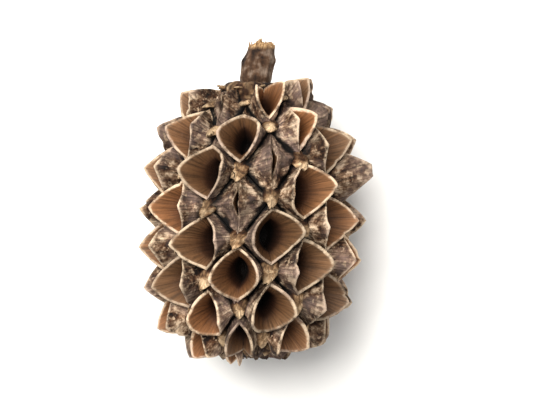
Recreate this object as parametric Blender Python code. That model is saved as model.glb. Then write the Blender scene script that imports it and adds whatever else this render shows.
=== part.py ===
"""A dry, open casuarina cone with its short stalk, lying on its side.

The cone's axis runs along Y, with the tip of the cone at -Y and the stalk at +Y. Z is up.
A place on the cone is given by q, the distance along the body's outline from its widest circle
towards the stalk, by the angle round the axis from straight up, and by the height above the body.
"""

import math
import random
from dataclasses import dataclass

import bmesh
import bpy
import numpy as np
from mathutils import Vector

MM = 0.001
SEED = 31

# Body: a barrel turned about Y, without its valves
BODY_RADIUS = 6.0 * MM
BODY_HALF_LENGTH = 9.5 * MM
SQUARENESS_TO_TIP = 2.75
SQUARENESS_TO_STALK = 2.25
OUTLINE_STEPS = 4000

# Whorls: rings of valve pairs, each turned by half a pair from the last
PAIRS_IN_WHORL = 8
WHORL_PITCH = 2.65 * MM
WHORL_START = -4.3 * MM  # q of a whorl that has a pair straight up
WHORLS_TO_STALK = 5
WHORLS_TO_TIP = 3
WHORL_TILT = 0.1  # the whorls slope up to the stalk on the right flank, as a share of the radius
WHORL_LIFT = 0.17  # and bend up further there
END_SHRINK = 0.4  # power by which valves and pitch follow the body's radius

# Valve pair: two thin woody blades that gape left and right like a beak
VALVE_HEIGHT = 2.3 * MM
SLIT_HEIGHT = 0.35 * MM
GAPE_ANGLE = math.radians(13.5)  # from the pair's middle to a blade's tip, round the axis
MOUTH_HALF_LENGTH = 2.0 * MM  # along the axis
BLADE_THICKNESS = 0.62 * MM
RIM_POWER = 1.15  # how straight the blades' edges run down from their tips
LENS_POWER = 2.3  # how full the mouth's outline is

# Pairs that differ, by whorl counted from the tip and place round it. Of the first whorl only one opened
UNOPENED = {(6, 0), (7, 0), (8, 2), (9, 7), (3, 5), (8, 4)} | {(1, place) for place in range(7)}
UNOPENED_GAPE = 0.35
UNOPENED_HEIGHT = 0.7
HALF_OPEN = {(8, 1): 0.6}  # its gape beside the others'
# Pairs that sit a little further to the tip or the stalk than their whorl
MOVED = {(4, 0): 0.25 * MM, (8, 0): -0.5 * MM, (8, 1): -0.45 * MM, (7, 7): -0.3 * MM, (6, 2): 0.5 * MM}
LONG_BLADE = {(6, 2): 0.8}  # how much further its upper blade stands out than the others

# Between the pairs: valleys, with a bract's tip at every corner where four cells meet
VALLEY_DEPTH = 0.3 * MM
BRACT_HEIGHT = 0.4 * MM

# Sections of a pair from its skirt to the pocket's floor
SKIRT_SHARE = 0.42
SKIRT_HEIGHT_SHARE = 0.3
POCKET_DEPTH = 2.5 * MM
THROAT = (0.86, 0.3 * MM)  # share of the mouth's width, depth below the body
FLOOR = (0.5, POCKET_DEPTH)

# Every mouth has this many points to a quarter
STEPS = 3
MOUTH_POINTS = 4 * STEPS
COLUMNS = 2 * PAIRS_IN_WHORL * STEPS

# The lowest blade tips are worn flat by this much
REST_WEAR = 0.4 * MM

# Stalk and its seat in the cone
STALK_RADIUS = 1.05 * MM
STALK_LENGTH = 3.2 * MM  # outside the seat
STALK_BEND = 0.45 * MM
STALK_SWELLING = 0.16  # of its radius, halfway along
STALK_TAPER = 0.12  # of its radius, at the broken end
STALK_POINTS = 9
SEAT_DEPTH = 1.6 * MM
SEAT_GAP = 0.3 * MM

# Dry wood and bark
CONE_BROWN = (0.13, 0.075, 0.04)
CONE_ROUGHNESS = 0.75
BARK_BROWN = (0.09, 0.06, 0.042)
BARK_ROUGHNESS = 0.85


@dataclass
class Pair:
    """One pair of valves: its whorl, the grid column of its middle, and its own small differences."""

    row: int
    column: int
    gape: float
    height: float
    lean: float
    shift: float
    stretch: float


def body_outline():
    """Along the outline from tip to stalk: q, place along Y, radius, and the normal's two parts."""
    turn = np.linspace(math.pi, 0.0, OUTLINE_STEPS + 1)
    power = 2.0 / np.where(np.cos(turn) < 0.0, SQUARENESS_TO_TIP, SQUARENESS_TO_STALK)
    along = BODY_HALF_LENGTH * np.sign(np.cos(turn)) * np.abs(np.cos(turn)) ** power
    radius = BODY_RADIUS * np.sin(turn).clip(0.0) ** power
    run = np.concatenate(([0.0], np.cumsum(np.hypot(np.diff(along), np.diff(radius)))))
    q = run - run[OUTLINE_STEPS // 2]
    return q, along, radius, -np.gradient(radius, q), np.gradient(along, q)


OUTLINE = body_outline()


def body_radius(q):
    return float(np.interp(q, OUTLINE[0], OUTLINE[2]))


def size_at(q):
    """How large the valves and the pitch are here, beside those at the widest circle."""
    return (body_radius(q) / BODY_RADIUS) ** END_SHRINK


def cone_point(q, angle, height):
    tilt = WHORL_TILT * math.sin(angle) + WHORL_LIFT * max(0.0, math.sin(angle)) ** 2
    q += tilt * body_radius(q)
    along, radius, lean, out = (float(np.interp(q, OUTLINE[0], values)) for values in OUTLINE[1:])
    length = math.hypot(lean, out)
    reach = radius + height * out / length
    return Vector((reach * math.sin(angle), along + height * lean / length, reach * math.cos(angle)))


def whorl_rows():
    """The q of each whorl from the tip to the stalk, with one more row past each end."""
    rows = [WHORL_START]
    for side, count in ((1, WHORLS_TO_STALK + 1), (-1, WHORLS_TO_TIP + 1)):
        q = WHORL_START
        for _ in range(count):
            halfway = q + side * WHORL_PITCH * size_at(q) / 2.0
            q += side * WHORL_PITCH * size_at(halfway)
            rows.append(q)
    return sorted(rows)


ROWS = whorl_rows()


def valve_pairs():
    draw = random.Random(SEED)
    pairs = []
    for row in range(1, len(ROWS) - 1):
        turned = (row - 1 - WHORLS_TO_TIP) % 2
        for place in range(PAIRS_IN_WHORL):
            closed = (row, place) in UNOPENED
            open_share = UNOPENED_GAPE if closed else HALF_OPEN.get((row, place), 1.0)
            pairs.append(
                Pair(
                    row=row,
                    column=STEPS * (2 * place + turned),
                    gape=draw.uniform(0.9, 1.08) * open_share,
                    height=draw.uniform(0.94, 1.05) * (UNOPENED_HEIGHT if closed else 1.0),
                    lean=math.radians(draw.uniform(-1.5, 1.5)),
                    shift=MOVED.get((row, place), 0.0),
                    stretch=LONG_BLADE.get((row, place), 0.0),
                )
            )
    return pairs


def cell_places(pair):
    """The grid places round a pair, from its right corner by way of its corner nearest the stalk."""
    places = []
    for k in range(MOUTH_POINTS):
        quarter, near = divmod(k, STEPS)
        away = STEPS - near
        across, up = ((away, near), (-near, away), (-away, -near), (near, -away))[quarter]
        places.append((STEPS * pair.row + up, (pair.column + across) % COLUMNS))
    return places


def grid_point(place):
    """A place of the grid on the body: bract tips at the cells' corners, valleys between them."""
    row, part = divmod(place[0], STEPS)
    q = ROWS[row]
    if part:
        q += (ROWS[row + 1] - q) * part / STEPS
    height = -VALLEY_DEPTH if part else BRACT_HEIGHT
    return cone_point(q, math.tau * place[1] / COLUMNS, height * size_at(q))


def rim_place(pair, k):
    """The blades' outer edge at point k, from the pair's middle: angle, q and height."""
    turn = math.tau * k / MOUTH_POINTS
    rise = abs(math.sin(turn))
    side = round(math.cos(turn), 6)
    half_length = MOUTH_HALF_LENGTH * (ROWS[pair.row + 1] - ROWS[pair.row - 1]) / (2.0 * WHORL_PITCH)
    angle = math.copysign(GAPE_ANGLE * pair.gape * (1.0 - rise**LENS_POWER), side) if side else 0.0
    blade = VALVE_HEIGHT * pair.height - SLIT_HEIGHT
    if side < 0.0:
        blade *= 1.0 + pair.stretch
    return angle, half_length * math.sin(turn), SLIT_HEIGHT + blade * (1.0 - rise**RIM_POWER)


def mouth_place(pair, k):
    """The blades' inner edge at point k: a blade's thickness in from the rim, and never past the middle."""
    angle, q, height = rim_place(pair, k)
    reach = body_radius(ROWS[pair.row]) + VALVE_HEIGHT * size_at(ROWS[pair.row])
    wall = BLADE_THICKNESS / reach
    if angle:
        angle = math.copysign(max(abs(angle) - wall, wall / 4.0), angle)
    half_length = abs(rim_place(pair, STEPS)[1])
    return angle, q * (1.0 - BLADE_THICKNESS / half_length), height


def skirt_section(pair, k, place):
    """Part of the way up the blades' outer faces, which rise from the cell's edge in a hollow curve."""
    row, column = place
    part = row / STEPS - pair.row
    middle, past = ROWS[pair.row], ROWS[pair.row + (1 if part > 0 else -1)]
    edge_q = abs(part) * (past - middle) - pair.shift
    turns = (column - pair.column + COLUMNS // 2) % COLUMNS - COLUMNS // 2
    angle, q, height = rim_place(pair, k)
    edge_angle = math.tau * turns / COLUMNS
    return (
        angle + (edge_angle - angle) * SKIRT_SHARE,
        q + (edge_q - q) * SKIRT_SHARE,
        height * SKIRT_HEIGHT_SHARE,
    )


def pocket_section(pair, k, share, depth):
    angle, q, _ = mouth_place(pair, k)
    return angle * share, q * share, -depth


SECTIONS = (
    skirt_section,
    lambda pair, k, place: rim_place(pair, k),
    lambda pair, k, place: mouth_place(pair, k),
    lambda pair, k, place: pocket_section(pair, k, *THROAT),
    lambda pair, k, place: pocket_section(pair, k, *FLOOR),
)


def pair_point(pair, angle, q, height):
    """A pair's own angle, q and height as a point of the cone, leaning a little to one side."""
    middle = ROWS[pair.row]
    size = size_at(middle)
    lean = pair.lean * max(height, 0.0) / VALVE_HEIGHT
    return cone_point(middle + q + pair.shift, math.tau * pair.column / COLUMNS + angle + lean, height * size)


def close_end(bm, grid, last, inner, step):
    """Fills between the last whorl's cells, and closes the small hole round the axis with one face."""
    corners = []
    for place in range(PAIRS_IN_WHORL):
        column = STEPS * (2 * place + (inner - 1 - WHORLS_TO_TIP) % 2)
        corners.append(grid[STEPS * last, column % COLUMNS])
        down = [(STEPS * last - step * n, (column + n) % COLUMNS) for n in range(STEPS + 1)]
        up = [(row, (column + 2 * STEPS - n) % COLUMNS) for n, (row, _) in enumerate(down[:-1])]
        loop = [grid[key] for key in down + up[::-1]]
        bm.faces.new(loop if step > 0 else loop[::-1])
    return bm.faces.new(corners if step > 0 else corners[::-1])


def resize_face(face, radius):
    """Moves a face's corners onto a circle of this radius about the cone's axis."""
    for vert in face.verts:
        out = Vector((vert.co.x, 0.0, vert.co.z)).normalized() * radius
        vert.co.x, vert.co.z = out.x, out.z


def cut_seat(bm, face):
    """A round seat for the stalk, sunk into the cone's end."""
    level = sum(vert.co.y for vert in face.verts) / len(face.verts)
    mouth_radius = (STALK_RADIUS + SEAT_GAP) / math.cos(math.pi / PAIRS_IN_WHORL)
    for depth in (0.0, SEAT_DEPTH):
        face = bmesh.ops.extrude_discrete_faces(bm, faces=[face])["faces"][0]
        resize_face(face, mouth_radius)
        for vert in face.verts:
            vert.co.y = level - depth
    return level


def wear_flat(bm):
    """Cuts the lowest blade tips to small flat spots in one plane, and returns that plane's height."""
    level = min(vert.co.z for vert in bm.verts) + REST_WEAR
    everything = bm.verts[:] + bm.edges[:] + bm.faces[:]
    plane = {"plane_co": (0.0, 0.0, level), "plane_no": (0.0, 0.0, -1.0)}
    cut = bmesh.ops.bisect_plane(bm, geom=everything, clear_outer=True, **plane)["geom_cut"]
    edges = [item for item in cut if isinstance(item, bmesh.types.BMEdge)]
    flats = bmesh.ops.holes_fill(bm, edges=edges)["faces"]
    bmesh.ops.triangulate(bm, faces=flats, quad_method="BEAUTY")
    return level


def cone_head():
    """One closed surface: a rhombic cell for each pair, drawn out into its blades and in to its pocket."""
    bm = bmesh.new()
    pairs = valve_pairs()
    cells = [cell_places(pair) for pair in pairs]
    grid = {place: bm.verts.new(grid_point(place)) for place in sorted({p for cell in cells for p in cell})}
    number = bm.faces.layers.int.new("pair_number")
    for n, cell in enumerate(cells):
        bm.faces.new([grid[place] for place in cell])[number] = n
    faces = bm.faces[:]
    last = len(ROWS) - 1
    stalk_end = close_end(bm, grid, last, last - 1, 1)
    close_end(bm, grid, 0, 1, -1)
    for section in SECTIONS:
        faces = bmesh.ops.extrude_discrete_faces(bm, faces=faces)["faces"]
        for face in faces:
            pair, cell = pairs[face[number]], cells[face[number]]
            for k, (vert, place) in enumerate(zip(face.verts, cell)):
                vert.co = pair_point(pair, *section(pair, k, place))
    seat_level = cut_seat(bm, stalk_end)
    rest_level = wear_flat(bm)
    bmesh.ops.triangulate(bm, faces=bm.faces[:], quad_method="SHORT_EDGE")
    mesh = bpy.data.meshes.new("cone_head")
    bm.to_mesh(mesh)
    bm.free()
    mesh.materials.append(wood("cone_wood", CONE_BROWN, CONE_ROUGHNESS))
    return bpy.data.objects.new("cone_head", mesh), seat_level, rest_level


def stalk(seat_level):
    """A short bent stem with a swollen collar, standing in its seat at the cone's end."""
    curve = bpy.data.curves.new("stalk", "CURVE")
    curve.dimensions = "3D"
    curve.bevel_depth = STALK_RADIUS
    curve.bevel_resolution = 2
    curve.use_fill_caps = True
    spline = curve.splines.new("POLY")
    spline.points.add(STALK_POINTS - 1)
    foot = seat_level - SEAT_DEPTH + SEAT_GAP
    length = seat_level + STALK_LENGTH - foot
    for n, point in enumerate(spline.points):
        share = n / (STALK_POINTS - 1)
        outside = max(0.0, foot + length * share - seat_level) / STALK_LENGTH
        point.co = (STALK_BEND * outside**2, foot + length * share, -STALK_BEND * outside**2, 1.0)
        swelling = STALK_SWELLING * math.sin(math.pi * outside) ** 2
        point.radius = 1.0 + swelling - STALK_TAPER * outside
    stem = bpy.data.objects.new("stalk", curve)
    curve.materials.append(wood("stalk_bark", BARK_BROWN, BARK_ROUGHNESS))
    return stem


def clear_scene():
    for thing in list(bpy.data.objects):
        bpy.data.objects.remove(thing, do_unlink=True)


def wood(name, colour, roughness):
    """A dry woody surface of one colour."""
    material = bpy.data.materials.new(name)
    material.use_nodes = True
    shader = material.node_tree.nodes["Principled BSDF"]
    shader.inputs["Base Color"].default_value = (*colour, 1.0)
    shader.inputs["Roughness"].default_value = roughness
    shader.inputs["Metallic"].default_value = 0.0
    return material


def middle_of(values):
    return (min(values) + max(values)) / 2.0


clear_scene()
cone = bpy.data.collections.new("casuarina_cone")
bpy.context.scene.collection.children.link(cone)
head, seat_level, rest_level = cone_head()
stem = stalk(seat_level)
stand = bpy.data.objects.new("cone_axis", None)
for thing in (stand, head, stem):
    cone.objects.link(thing)
head.parent = stem.parent = stand

# The stand puts the worn tips on the ground and the middle of the whole length over the origin
points = [vert.co for vert in head.data.vertices]
stalk_end = seat_level + STALK_LENGTH
middle_x = middle_of([point.x for point in points])
middle_y = (min(point.y for point in points) + stalk_end) / 2.0
stand.location = (-middle_x, -middle_y, -rest_level)
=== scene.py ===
import math
import random

import bpy
import numpy as np
from mathutils import Matrix, Vector, noise


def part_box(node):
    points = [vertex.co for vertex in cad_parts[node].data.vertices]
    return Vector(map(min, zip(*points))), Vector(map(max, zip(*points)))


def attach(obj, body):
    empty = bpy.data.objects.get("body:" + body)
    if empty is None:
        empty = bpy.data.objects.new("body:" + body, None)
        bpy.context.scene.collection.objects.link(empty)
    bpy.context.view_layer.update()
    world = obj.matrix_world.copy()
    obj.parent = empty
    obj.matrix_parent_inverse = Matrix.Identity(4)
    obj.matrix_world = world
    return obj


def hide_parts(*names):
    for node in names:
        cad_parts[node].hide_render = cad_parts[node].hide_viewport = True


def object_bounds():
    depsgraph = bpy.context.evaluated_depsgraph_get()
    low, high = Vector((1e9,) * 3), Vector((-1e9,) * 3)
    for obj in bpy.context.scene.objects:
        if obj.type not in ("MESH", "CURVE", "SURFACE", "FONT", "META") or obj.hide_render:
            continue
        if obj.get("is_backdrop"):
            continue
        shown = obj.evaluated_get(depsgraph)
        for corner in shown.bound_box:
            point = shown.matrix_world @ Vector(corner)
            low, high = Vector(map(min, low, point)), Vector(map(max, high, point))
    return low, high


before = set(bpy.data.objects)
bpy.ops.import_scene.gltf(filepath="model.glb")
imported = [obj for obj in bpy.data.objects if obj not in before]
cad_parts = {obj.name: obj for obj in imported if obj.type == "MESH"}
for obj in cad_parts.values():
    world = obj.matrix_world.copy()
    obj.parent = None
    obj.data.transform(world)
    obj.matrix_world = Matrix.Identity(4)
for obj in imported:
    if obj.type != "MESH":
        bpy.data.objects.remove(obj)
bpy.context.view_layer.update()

MM = 0.001

# The whorls of valves
# A ripe casuarina cone is a barrel of wood with rings of paired valves. Each pair grew shut over one
# seed and has gaped like a beak in drying: thin woody blades, weathered and hairy outside, satin
# orange-brown inside, with a pale worn rim. Each ring is turned by half a pair from the last.

# Barrel that the whorls stand on
BODY_RADIUS = 6.0 * MM
BODY_HALF_LENGTH = 9.5 * MM
SQUARENESS_TO_TIP = 2.75  # 2 is an ellipse
SQUARENESS_TO_STALK = 2.25
OUTLINE_STEPS = 4000

# Whorls, as distances along the barrel's outline from its middle
PAIRS_IN_WHORL = 8
WHORL_PITCH = 2.65 * MM
WHORL_START = -4.3 * MM
WHORLS_TO_STALK = 5
WHORLS_TO_TIP = 3
WHORL_TILT = 0.1  # towards the stalk on the +X side
WHORL_LIFT = 0.17  # and bend up further there
END_SHRINK = 0.4  # how fast the pairs get smaller as the barrel narrows

# Pair of valves, with heights above the barrel
VALVE_HEIGHT = 2.3 * MM
SLIT_HEIGHT = 0.35 * MM  # where the two blades meet
GAPE_ANGLE = math.radians(13.5)
MOUTH_HALF_LENGTH = 2.0 * MM
RIM_POWER = 1.15  # how pointed the blades are
LENS_POWER = 2.3  # how full the mouth's outline is
VALLEY_DEPTH = 0.3 * MM
CORNER_RISE = 0.5 * MM
SKIRT_POWER = 2.2  # how steeply the outer face rises to the rim
BLADE_EDGE = 0.21 * MM
RIM_ROUND = 0.05 * MM
THROAT_DEPTH = 0.3 * MM
POCKET_DEPTH = 2.7 * MM

# Unevenness of a pair: its rim wavers and has notches, its outer face has ridges and knobs
RIM_WAVER = 0.05
END_WAVER = 0.03
RIM_TEETH = 0.04 * MM
RIDGE_HEIGHT = 0.06 * MM
INNER_RIDGES = 0.4  # of the outer ones
KNOBS = 7
KNOB_HEIGHT = 0.3 * MM
KNOB_HEIGHTS = (0.3, 1.0)
KNOB_WIDTHS = (0.12, 0.3)  # in radians round the mouth
KNOB_SHARE = 0.42  # how far up the outer face
KNOB_SPREAD = 0.16
KNOB_SINK = 0.8  # of their mean height is taken off the whole face
MOST_NOTCHES = 3
NOTCH_DEPTHS = (0.1 * MM, 0.28 * MM)
NOTCH_WIDTHS = (0.06, 0.13)
TORN_SHARE = 0.87  # of a long blade's height is left where its end is torn
TORN_TEETH = 0.12 * MM

# Sizes of a pair's rings beside its cell's edge or its rim
CELL_GAP = 0.975
ROOT_DEPTH_SHARE = 0.6  # of the barrel's radius
FOOT_DEPTHS = (1.0 * MM, 0.45 * MM)  # of the two rings above the root, below the valley
THROAT_WIDTH, THROAT_LENGTH = 0.6, 0.62
THROAT_WIDTH_POWER, THROAT_LENGTH_POWER = 2.0, 1.5  # how late the mouth narrows to its throat
FLOOR_WIDTH, FLOOR_LENGTH = 0.3, 0.4

# Pairs that differ, by whorl counted from the tip and place round it
PAIR_SEED = 31
GAPES = (0.9, 1.08)
HEIGHTS = (0.94, 1.05)
LEANS = (-1.5, 1.5)  # in degrees
UNOPENED = {(6, 0), (7, 0), (8, 2), (9, 7), (3, 5), (8, 4)} | {(1, place) for place in range(7)}
UNOPENED_GAPE = 0.2
UNOPENED_HEIGHT = 0.7
UNOPENED_ROUGHNESS = 2.8
HALF_OPEN = {(8, 1): 0.6}  # its gape beside the others'
# Pairs that sit a little further to the tip or the stalk than their whorl
MOVED = {(4, 0): 0.25 * MM, (8, 0): -0.5 * MM, (8, 1): -0.45 * MM, (7, 7): -0.3 * MM, (6, 2): 0.5 * MM}
LONG_BLADE = {(6, 2): 0.8}  # how much further one blade stands out than the others

# Rings of a pair's mesh, as shares of the way up its outer face, down its mouth and down its pocket
ROUND = 64
ROOT_RINGS = 3
OUTER_SHARES = (0.0, 0.08, 0.18, 0.28, 0.38, 0.48, 0.58, 0.67, 0.75, 0.82, 0.88, 0.93, 0.97, 1.0)
INNER_SHARES = (0.04, 0.12, 0.22, 0.34, 0.47, 0.6, 0.72, 0.83, 0.92, 1.0)
POCKET_SHARES = (0.2, 0.45, 0.75, 1.0)
RINGS = ROOT_RINGS + len(OUTER_SHARES) + 1 + len(INNER_SHARES) + len(POCKET_SHARES)


def body_outline():
    """From tip to stalk along the barrel: distance q, place on Y, radius, and the normal's two parts."""
    turn = np.linspace(math.pi, 0.0, OUTLINE_STEPS + 1)
    power = 2.0 / np.where(np.cos(turn) < 0.0, SQUARENESS_TO_TIP, SQUARENESS_TO_STALK)
    along = BODY_HALF_LENGTH * np.sign(np.cos(turn)) * np.abs(np.cos(turn)) ** power
    radius = BODY_RADIUS * np.sin(turn).clip(0.0) ** power
    run = np.concatenate(([0.0], np.cumsum(np.hypot(np.diff(along), np.diff(radius)))))
    q = run - run[OUTLINE_STEPS // 2]
    return q, along, radius, -np.gradient(radius, q), np.gradient(along, q)


OUTLINE = body_outline()


def body_radius(q):
    return np.interp(q, OUTLINE[0], OUTLINE[2])


def size_at(q):
    return (body_radius(q) / BODY_RADIUS) ** END_SHRINK


def cone_points(q, angle, height):
    """Points at these distances along the outline, angles round the axis and heights above the body."""
    tilt = WHORL_TILT * np.sin(angle) + WHORL_LIFT * np.sin(angle).clip(0.0) ** 2
    q = q + tilt * body_radius(q)
    along, radius, lean, out = (np.interp(q, OUTLINE[0], values) for values in OUTLINE[1:])
    length = np.hypot(lean, out)
    reach = radius + height * out / length
    along = along + height * lean / length
    return np.stack((reach * np.sin(angle), along, reach * np.cos(angle)), axis=-1)


def whorl_rows():
    rows = [WHORL_START]
    for side, count in ((1, WHORLS_TO_STALK + 1), (-1, WHORLS_TO_TIP + 1)):
        q = WHORL_START
        for _ in range(count):
            halfway = q + side * WHORL_PITCH * size_at(q) / 2.0
            q += side * WHORL_PITCH * size_at(halfway)
            rows.append(q)
    return sorted(float(row) for row in rows)


ROWS = whorl_rows()


def valve_pairs():
    draw = random.Random(PAIR_SEED)
    pairs = []
    for row in range(1, len(ROWS) - 1):
        turned = (row - 1 - WHORLS_TO_TIP) % 2
        for place in range(PAIRS_IN_WHORL):
            closed = (row, place) in UNOPENED
            open_share = UNOPENED_GAPE if closed else HALF_OPEN.get((row, place), 1.0)
            pairs.append({
                "row": row,
                "place": place,
                "rough": UNOPENED_ROUGHNESS if closed else 1.0,
                "angle": math.tau * (2 * place + turned) / (2 * PAIRS_IN_WHORL),
                "gape": draw.uniform(*GAPES) * open_share,
                "height": draw.uniform(*HEIGHTS) * (UNOPENED_HEIGHT if closed else 1.0),
                "lean": math.radians(draw.uniform(*LEANS)),
                "shift": MOVED.get((row, place), 0.0),
                "stretch": LONG_BLADE.get((row, place), 0.0),
            })
    return pairs


def rim_line(pair, turn):
    """The blades' outer edge round the mouth: angle and q from the pair's middle, and height."""
    rise, side = np.abs(np.sin(turn)), np.round(np.cos(turn), 6)
    room = ROWS[pair["row"] + 1] - ROWS[pair["row"] - 1]
    half_length = MOUTH_HALF_LENGTH * room / (2.0 * WHORL_PITCH)
    angle = np.sign(side) * GAPE_ANGLE * pair["gape"] * (1.0 - rise**LENS_POWER)
    blade = VALVE_HEIGHT * pair["height"] - SLIT_HEIGHT
    blade = np.where(side < 0.0, blade * (1.0 + pair["stretch"]), blade)
    return angle, half_length * np.sin(turn), SLIT_HEIGHT + blade * (1.0 - rise**RIM_POWER)


def edge_line(pair, turn):
    """The edge of the pair's rhombic cell: angle and q from the pair's middle, and height there."""
    quarter, part = np.divmod(turn / (math.pi / 2.0), 1.0)
    across = np.choose(quarter.astype(int) % 4, (1.0 - part, -part, part - 1.0, part))
    up = np.choose(quarter.astype(int) % 4, (part, 1.0 - part, -part, part - 1.0))
    middle, before, after = (ROWS[pair["row"] + n] for n in (0, -1, 1))
    q = np.where(up > 0.0, up * (after - middle), -up * (before - middle)) - pair["shift"]
    corner = np.clip(1.0 - 3.0 * np.minimum(part, 1.0 - part), 0.0, 1.0)
    return across * math.pi / PAIRS_IN_WHORL, q, CORNER_RISE * corner**1.5 - VALLEY_DEPTH


def pair_points(pair, angle, q, height):
    """A pair's own angles, q and heights as points of the cone, leaning a little to one side."""
    middle = ROWS[pair["row"]]
    lean = pair["lean"] * np.maximum(height, 0.0) / VALVE_HEIGHT
    angle = pair["angle"] + angle + lean
    return cone_points(middle + q + pair["shift"], angle, height * size_at(middle))


PAIRS = valve_pairs()

SOLID_BLADE = 0.62 * MM


def solid_tips(pair):
    """The blades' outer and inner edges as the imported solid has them."""
    angle, q, height = rim_line(pair, np.arange(12) * math.tau / 12.0)
    middle = ROWS[pair["row"]]
    wall = SOLID_BLADE / (body_radius(middle) + VALVE_HEIGHT * size_at(middle))
    inner = np.sign(angle) * np.maximum(np.abs(angle) - wall, wall / 4.0)
    return np.concatenate([pair_points(pair, edge, q, height) for edge in (angle, inner)])


# The cone's middle in the frame, from the tips that stand out furthest
spread = np.concatenate([solid_tips(pair) for pair in PAIRS])
head_low, head_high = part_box("cone_head")
CONE_MIDDLE = np.array((
    head_high.x - spread[:, 0].max(),
    head_low.y - spread[:, 1].min(),
    head_high.z - spread[:, 2].max(),
))


def waves(draw, turn, count):
    """A smooth random line round the mouth, about 1 high, from its first few harmonics."""
    total = np.zeros_like(turn)
    for n in range(1, count + 1):
        total += draw.normal() * np.cos(n * turn + draw.uniform(0.0, math.tau)) / n**0.5
    return total / count**0.5


def bulge(draw, turn, heights, widths):
    """One smooth bump somewhere round the mouth, its height and half width drawn from these ranges."""
    away = (turn - draw.uniform(0.0, math.tau) + math.pi) % math.tau - math.pi
    return draw.uniform(*heights) * np.exp(-((away / draw.uniform(*widths)) ** 2))


def pair_rings(pair, turn):
    """Every ring of a pair, from its root over its rim to the pocket's floor: angle, q and height."""
    draw = np.random.default_rng(1000 * pair["row"] + pair["place"])
    middle = ROWS[pair["row"]]
    edge_angle, edge_q, edge_height = edge_line(pair, turn)
    angle, q, height = rim_line(pair, turn)
    rough = pair["rough"]
    angle = angle * (1.0 + RIM_WAVER * rough * waves(draw, turn, 4))
    q = q * (1.0 + END_WAVER * waves(draw, turn, 3))
    height = height * (1.0 + RIM_WAVER * rough * waves(draw, turn, 5))
    height += RIM_TEETH * rough * waves(draw, turn, 18)
    ridge = RIDGE_HEIGHT * rough * waves(draw, turn, 22)
    knob = np.zeros_like(turn)
    for _ in range(KNOBS):
        knob += KNOB_HEIGHT * rough**0.5 * bulge(draw, turn, KNOB_HEIGHTS, KNOB_WIDTHS)
    for _ in range(draw.integers(1, MOST_NOTCHES + 1)):
        height -= bulge(draw, turn, NOTCH_DEPTHS, NOTCH_WIDTHS)
    if pair["stretch"]:
        height = np.minimum(height, TORN_SHARE * height.max() + TORN_TEETH * waves(draw, turn, 24))
    half_width = GAPE_ANGLE * pair["gape"] * (body_radius(middle) + VALVE_HEIGHT * size_at(middle))
    edge_share = BLADE_EDGE / half_width
    foot_angle, foot_q = edge_angle * CELL_GAP, edge_q * CELL_GAP
    root = -ROOT_DEPTH_SHARE * body_radius(middle) / size_at(middle)
    rings = [
        (edge_angle, edge_q, np.full_like(turn, root)),
        (edge_angle, edge_q, edge_height - FOOT_DEPTHS[0]),
        (foot_angle, foot_q, edge_height - FOOT_DEPTHS[1]),
    ]
    knob -= KNOB_SINK * knob.mean()
    for share in OUTER_SHARES:
        level = edge_height + (height - edge_height) * share**SKIRT_POWER
        level = level + ridge * math.sin(math.pi * share)
        level = level + knob * math.exp(-(((share - KNOB_SHARE) / KNOB_SPREAD) ** 2))
        rings.append((
            foot_angle + (angle - foot_angle) * share,
            foot_q + (q - foot_q) * share,
            level - (RIM_ROUND if share == 1.0 else 0.0),
        ))
    rings.append((angle * (1.0 - edge_share / 2.0), q * (1.0 - edge_share / 2.0), height))
    for share in INNER_SHARES:
        wide = 1.0 - edge_share - (1.0 - THROAT_WIDTH - edge_share) * share**THROAT_WIDTH_POWER
        long = 1.0 - edge_share - (1.0 - THROAT_LENGTH - edge_share) * share**THROAT_LENGTH_POWER
        level = (height - RIM_ROUND) + (-THROAT_DEPTH - height + RIM_ROUND) * share
        rings.append((angle * wide + INNER_RIDGES * ridge / BODY_RADIUS * share, q * long, level))
    for share in POCKET_SHARES:
        wide = THROAT_WIDTH + (FLOOR_WIDTH - THROAT_WIDTH) * share
        long = THROAT_LENGTH + (FLOOR_LENGTH - THROAT_LENGTH) * share
        level = -THROAT_DEPTH - (POCKET_DEPTH - THROAT_DEPTH) * share
        rings.append((angle * wide, q * long, np.full_like(turn, level)))
    return (np.array(values) for values in zip(*rings))


# Where each ring lies between the valley, 0, the rim, 1, and the pocket's floor, 2
RIM_END_LEVEL = 1.04
THROAT_LEVEL = 1.6
RING_LEVELS = np.array(
    [0.0] * ROOT_RINGS
    + list(OUTER_SHARES)
    + [(1.0 + RIM_END_LEVEL) / 2.0]
    + [RIM_END_LEVEL + (THROAT_LEVEL - RIM_END_LEVEL) * share for share in INNER_SHARES]
    + [THROAT_LEVEL + (2.0 - THROAT_LEVEL) * share for share in POCKET_SHARES]
)

# One blank pair: a round face drawn out ring by ring into a closed tube, which every pair is shaped from
bpy.ops.object.select_all(action="DESELECT")
bpy.ops.mesh.primitive_circle_add(vertices=ROUND, radius=1.0, fill_type="NGON")
blank = bpy.context.object
bpy.ops.object.mode_set(mode="EDIT")
for _ in range(RINGS - 1):
    bpy.ops.mesh.extrude_region_move(TRANSFORM_OT_translate={"value": (0.0, 0.0, 1.0)})
bpy.ops.mesh.select_all(action="SELECT")
bpy.ops.mesh.normals_make_consistent(inside=False)
bpy.ops.object.mode_set(mode="OBJECT")
bpy.ops.object.shade_smooth()


def mesh_points(mesh):
    flat = np.empty(3 * len(mesh.vertices))
    mesh.vertices.foreach_get("co", flat)
    return flat.reshape(-1, 3)


def write_points(mesh, points):
    mesh.vertices.foreach_set("co", np.ascontiguousarray(points, dtype=np.float32).ravel())
    mesh.update()


def write_attribute(mesh, name, kind, values):
    """Keeps a value for each point of a mesh, for its material to read."""
    made = mesh.attributes.new(name, kind, "POINT")
    field = "vector" if kind == "FLOAT_VECTOR" else "value"
    made.data.foreach_set(field, np.ascontiguousarray(values, dtype=np.float32).ravel())


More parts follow.
